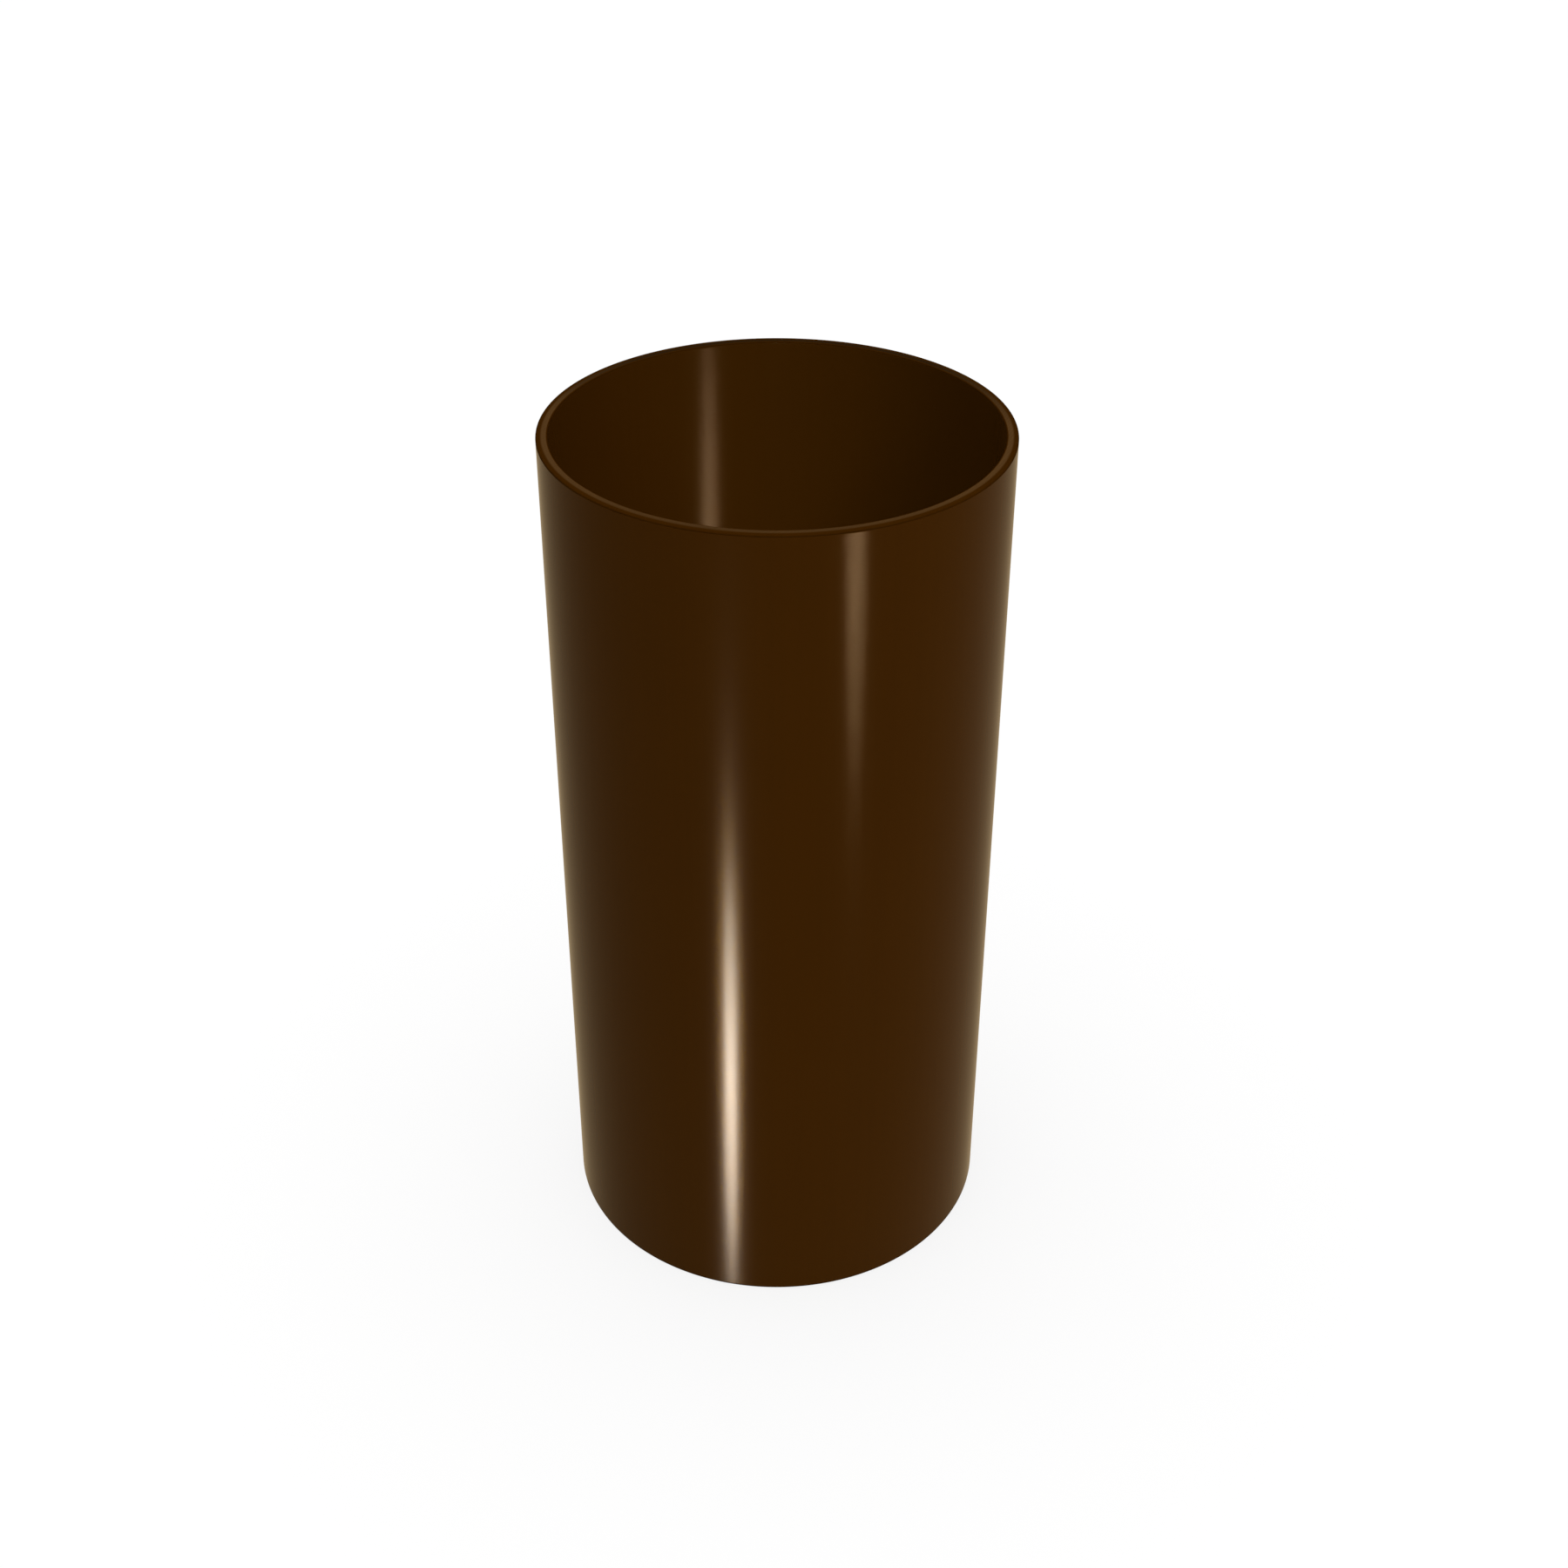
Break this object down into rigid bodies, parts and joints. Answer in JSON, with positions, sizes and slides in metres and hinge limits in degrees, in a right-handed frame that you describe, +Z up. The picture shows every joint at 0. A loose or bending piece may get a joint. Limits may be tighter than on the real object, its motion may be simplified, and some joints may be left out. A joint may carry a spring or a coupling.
{
  "type": "downspout pipe",
  "caption": "Straight round downspout pipe: a thin-walled brown plastic tube, cut square at plain ends, that carries rainwater down from a gutter.",
  "frame": {"origin": "centre of the bottom end, on the pipe's axis, in the plane that it stands on", "axes": "+Z up along the pipe's axis, towards its top end; X and Y are free, because the pipe is round"},
  "size_m": [0.1, 0.1, 0.2],
  "materials": {
    "brown_pvc": "gloss"
  },
  "bodies": {
    "root": {"pipe": "brown_pvc"}
  },
  "joints": []
}
